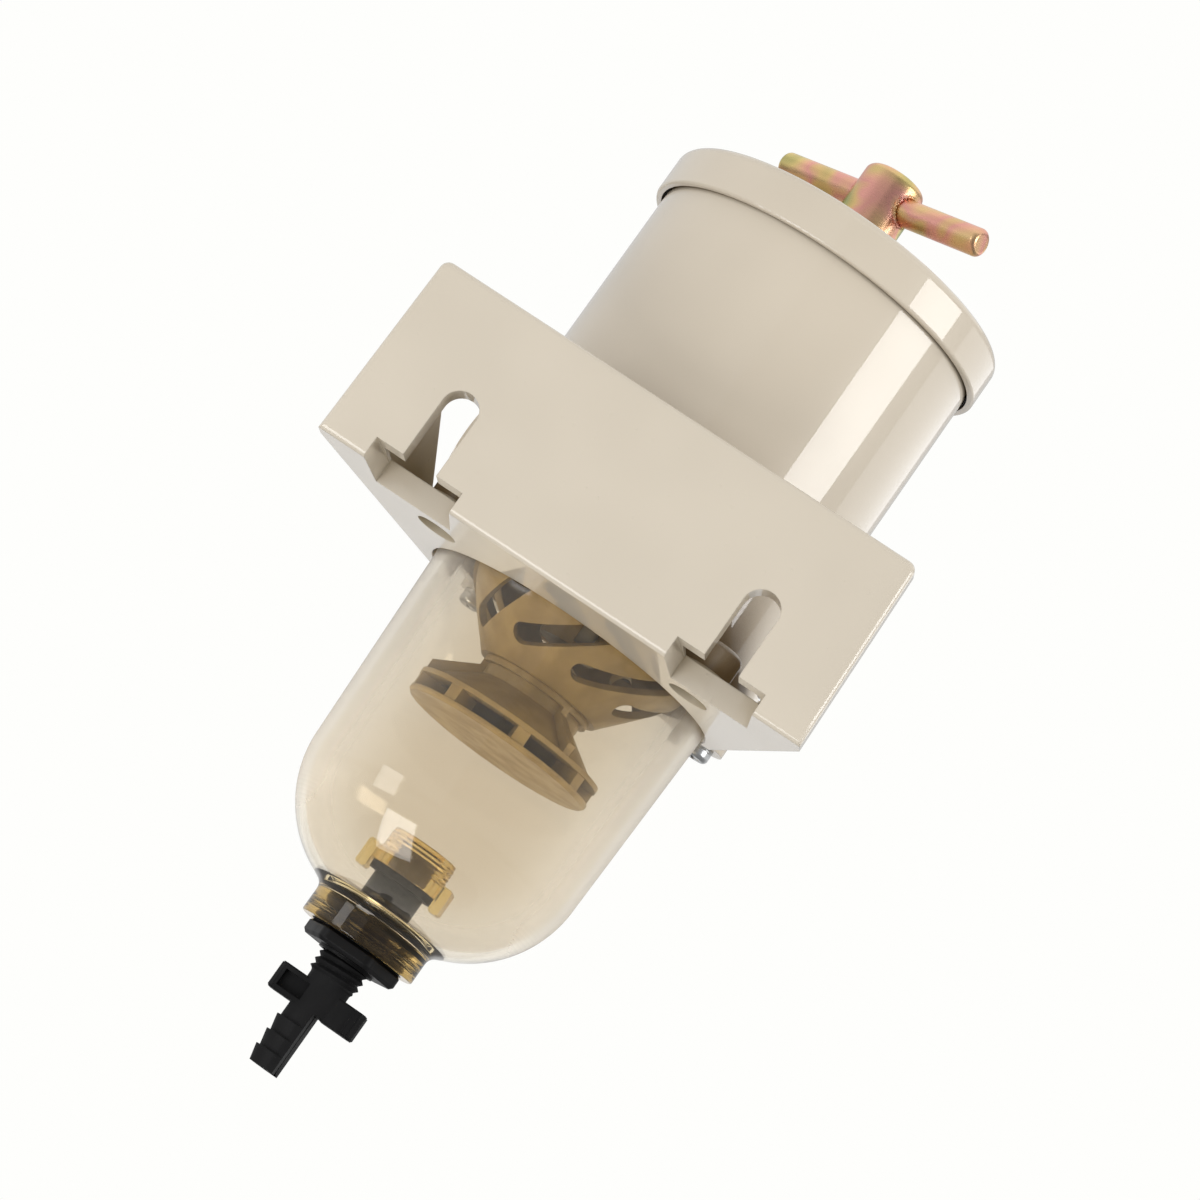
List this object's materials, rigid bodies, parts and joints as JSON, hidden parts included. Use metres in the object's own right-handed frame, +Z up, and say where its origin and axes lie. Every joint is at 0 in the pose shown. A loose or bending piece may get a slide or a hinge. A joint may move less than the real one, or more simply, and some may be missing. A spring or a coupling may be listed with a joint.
{
  "type": "fuel water separator",
  "caption": "Wall-mounted turbine fuel filter and water separator: cream can with T-handle lid, die-cast bracket, clear bowl with slotted dome and vaned disc, wing drain valve with hose barb.",
  "frame": {"origin": "on the wall face of the bracket, midway between the seats of the two mounting studs", "axes": "+Y out of the wall face into the wall, +Z up, X along the wall; the can's axis is parallel to Z at Y = -71.8 mm"},
  "size_m": [0.147, 0.124, 0.2974],
  "materials": {
    "paint": "gloss cream paint over die-cast aluminium",
    "bright_zinc": "bright zinc plating",
    "yellow_zinc": "yellow zinc plating with a rainbow sheen",
    "clear_plastic": "clear moulded plastic with a faint amber tint",
    "amber_plastic": "amber moulded plastic",
    "black_plastic": "black moulded plastic",
    "white_plastic": "smooth white plastic",
    "green_plastic": "green moulded plastic",
    "filter_paper": "pleated resin-treated paper",
    "aluminium": "turned",
    "black_rubber": "moulded nitrile rubber"
  },
  "bodies": {
    "housing": {"mounting_bracket": "paint", "filter_body": "paint", "clamp_screws": "bright_zinc", "lock_washers": "bright_zinc", "clear_bowl": "clear_plastic", "bowl_gasket": "black_rubber", "turbine": "amber_plastic", "turbine_screws": "bright_zinc", "vane_disc": "amber_plastic", "check_ball_seat": "black_plastic", "return_tube": "aluminium", "drain_bush": "black_plastic", "drain_o_ring": "black_rubber", "drain_seal_washer": "black_rubber", "drain_seat_nut": "amber_plastic"},
    "check_ball": {"check_ball": "white_plastic"},
    "element": {"element_bottom_cap": "green_plastic", "element_top_cap": "green_plastic", "element_seal": "black_rubber", "element_media": "filter_paper", "element_core": "black_plastic"},
    "lid": {"lid": "paint", "lid_gasket": "black_rubber", "handle_o_ring": "black_rubber"},
    "handle_washer": {"handle_washer": "bright_zinc"},
    "handle": {"handle_hub": "yellow_zinc", "handle_bar": "yellow_zinc"},
    "drain_seal": {"drain_valve_seal": "black_rubber"},
    "drain_valve": {"drain_valve": "black_plastic"}
  },
  "joints": [
    {"name": "lid_lift", "type": "slide", "parent": "housing", "child": "lid", "axis": [0, 0, 1], "range_m": [0, 0.2]},
    {"name": "element_lift", "type": "slide", "parent": "housing", "child": "element", "axis": [0, 0, 1], "range_m": [0, 0.1]},
    {"name": "handle_rise", "type": "slide", "parent": "lid", "child": "handle_washer", "axis": [0, 0, 1], "range_m": [0, 0.01225]},
    {"name": "handle_turn", "type": "hinge", "parent": "handle_washer", "child": "handle", "pos_m": [0, -0.0718, 0.12], "axis": [0, 0, 1], "range_deg": [0, 2520]},
    {"name": "ball_float", "type": "slide", "parent": "housing", "child": "check_ball", "axis": [0, 0, 1], "range_m": [0, 0.0045]},
    {"name": "drain_travel", "type": "slide", "parent": "housing", "child": "drain_seal", "axis": [0, 0, -1], "range_m": [0, 0.006]},
    {"name": "drain_turn", "type": "hinge", "parent": "drain_seal", "child": "drain_valve", "pos_m": [0, -0.0718, -0.13], "axis": [0, 0, -1], "range_deg": [0, 1080]}
  ],
  "couplings": [
    {"joint": "element_lift", "follows": "lid_lift", "ratio": 0.5},
    {"joint": "handle_rise", "follows": "handle_turn", "m_per_rad": 0.00027852},
    {"joint": "drain_travel", "follows": "drain_turn", "m_per_rad": 0.00031831}
  ]
}
